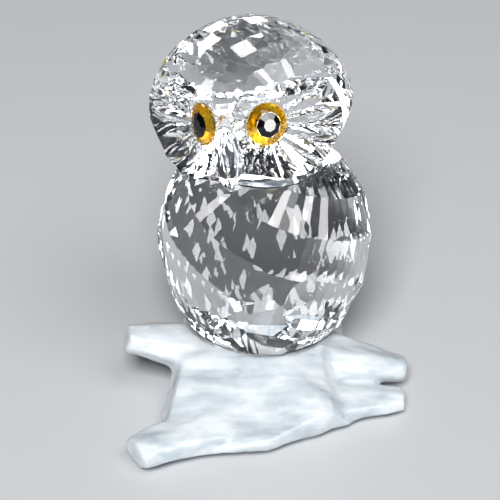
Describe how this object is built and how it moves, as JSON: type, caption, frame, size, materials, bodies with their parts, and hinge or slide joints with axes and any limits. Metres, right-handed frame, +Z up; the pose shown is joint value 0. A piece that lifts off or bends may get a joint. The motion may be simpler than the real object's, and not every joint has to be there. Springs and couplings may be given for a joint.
{
  "type": "crystal figurine",
  "caption": "Cut crystal owl figurine with a turned, tilted head and amber eyes, standing on a hewn frosted crystal branch.",
  "frame": {"origin": "on the ground face of the branch base, under the vertical axis of the body", "axes": "+Z up along the axis of the body, -Y the way the body faces, +X to the right of someone looking at its front"},
  "size_m": [0.037, 0.0408, 0.0484],
  "materials": {
    "clear_crystal": "polished, cut lead crystal",
    "frosted_crystal": "acid-frosted, satin",
    "amber_stone": "cut, with a mirrored back",
    "black_stone": "polished, opaque",
    "clear_adhesive": "cured clear adhesive"
  },
  "bodies": {
    "root": {"branch_base": "frosted_crystal", "body": "clear_crystal", "head": "clear_crystal", "beak": "clear_crystal", "right_eye_stone": "amber_stone", "left_eye_stone": "amber_stone", "right_eye_pupil": "black_stone", "left_eye_pupil": "black_stone", "seat_bond": "clear_adhesive", "neck_bond": "clear_adhesive", "beak_bond": "clear_adhesive", "right_eye_bond": "clear_adhesive", "left_eye_bond": "clear_adhesive"}
  },
  "joints": []
}
